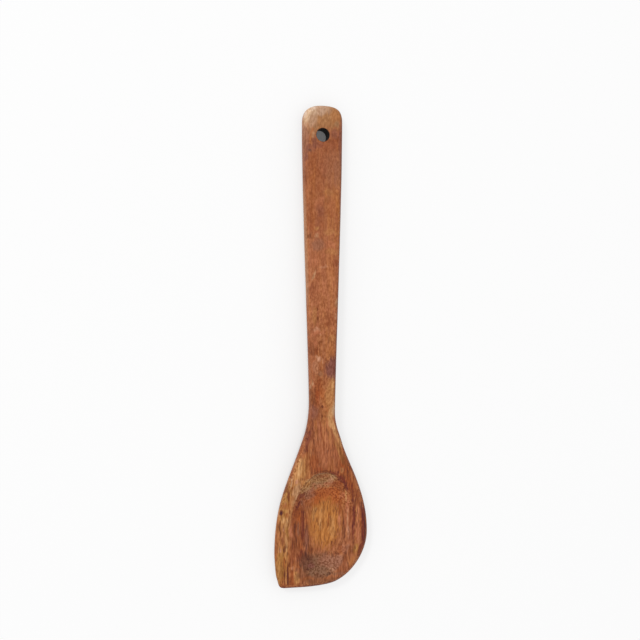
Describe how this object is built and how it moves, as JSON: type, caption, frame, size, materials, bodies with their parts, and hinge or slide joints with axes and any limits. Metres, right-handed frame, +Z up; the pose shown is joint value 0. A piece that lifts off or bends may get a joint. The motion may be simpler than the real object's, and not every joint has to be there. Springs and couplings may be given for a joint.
{
  "type": "wooden spoon",
  "caption": "Solid wooden spoon with a tapered handle, a hanging hole, a narrow neck and a broad head that has an oval hollow and a pointed corner.",
  "frame": {"origin": "under the middle of the spoon's box, on the table it lies on", "axes": "+Y along the spoon towards the handle's end, +Z up out of the hollow, and the pointed corner of the head is at -X, -Y"},
  "size_m": [0.0594, 0.3, 0.0134],
  "materials": {
    "spoon_wood": "oiled, satin"
  },
  "bodies": {
    "root": {"spoon": "spoon_wood"}
  },
  "joints": []
}
